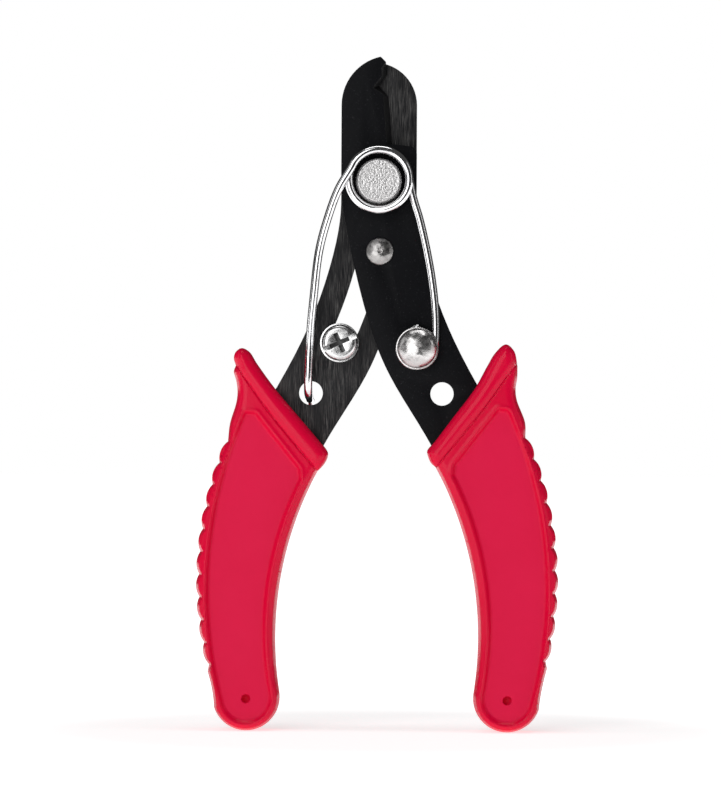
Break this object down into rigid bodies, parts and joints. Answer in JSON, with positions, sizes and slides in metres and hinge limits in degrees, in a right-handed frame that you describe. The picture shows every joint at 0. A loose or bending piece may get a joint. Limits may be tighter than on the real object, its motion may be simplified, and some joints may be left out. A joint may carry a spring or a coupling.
{
  "type": "wire stripper",
  "caption": "Hand wire stripper and cutter: crossed flat steel levers with notched jaws, torsion spring, adjustable stop screw and moulded red grips.",
  "frame": {"origin": "on the surface under the ends of the grips, midway across the tool's width and depth", "axes": "+Z from the grips' ends to the jaw tips, +X across the handles to the front lever's grip, +Y from the front face to the back"},
  "size_m": [0.0808, 0.0169, 0.15],
  "materials": {
    "front_lever_steel": "black oxide, fine speckle",
    "rear_lever_steel": "black oxide, brushed lengthwise",
    "rivet_steel": "matt stippled head",
    "spring_wire": "polished nickel plate",
    "nickel_rivet": "tumbled nickel plate",
    "zinc_fastener": "bright zinc plate",
    "red_plastic": "satin gloss with fine grain"
  },
  "bodies": {
    "rear_handle": {"rear_lever": "rear_lever_steel", "left_grip": "red_plastic", "pivot_rivet": "rivet_steel", "return_spring": "spring_wire"},
    "front_handle": {"front_lever": "front_lever_steel", "right_grip": "red_plastic", "stop_pin": "nickel_rivet", "spring_stud": "nickel_rivet"},
    "stop_clamp": {"screw_washer": "zinc_fastener", "nut_washer": "zinc_fastener", "adjusting_nut": "zinc_fastener"},
    "stop_screw": {"adjusting_screw": "zinc_fastener"}
  },
  "joints": [
    {"name": "lever_pivot", "type": "hinge", "parent": "rear_handle", "child": "front_handle", "pos_m": [0, 0.00085, 0.1222], "axis": [0, -1, 0], "range_deg": [-3.5, 11], "stiffness_Nm_per_rad": 1.5, "deforming": ["return_spring"]},
    {"name": "stop_slide", "type": "slide", "parent": "rear_handle", "child": "stop_clamp", "axis": [0.4135, 0, 0.9105], "range_m": [-0.0013, 0.0012]},
    {"name": "screw_turn", "type": "hinge", "parent": "stop_clamp", "child": "stop_screw", "pos_m": [-0.00857, 0.00085, 0.0864], "axis": [0, -1, 0], "continuous": true}
  ]
}
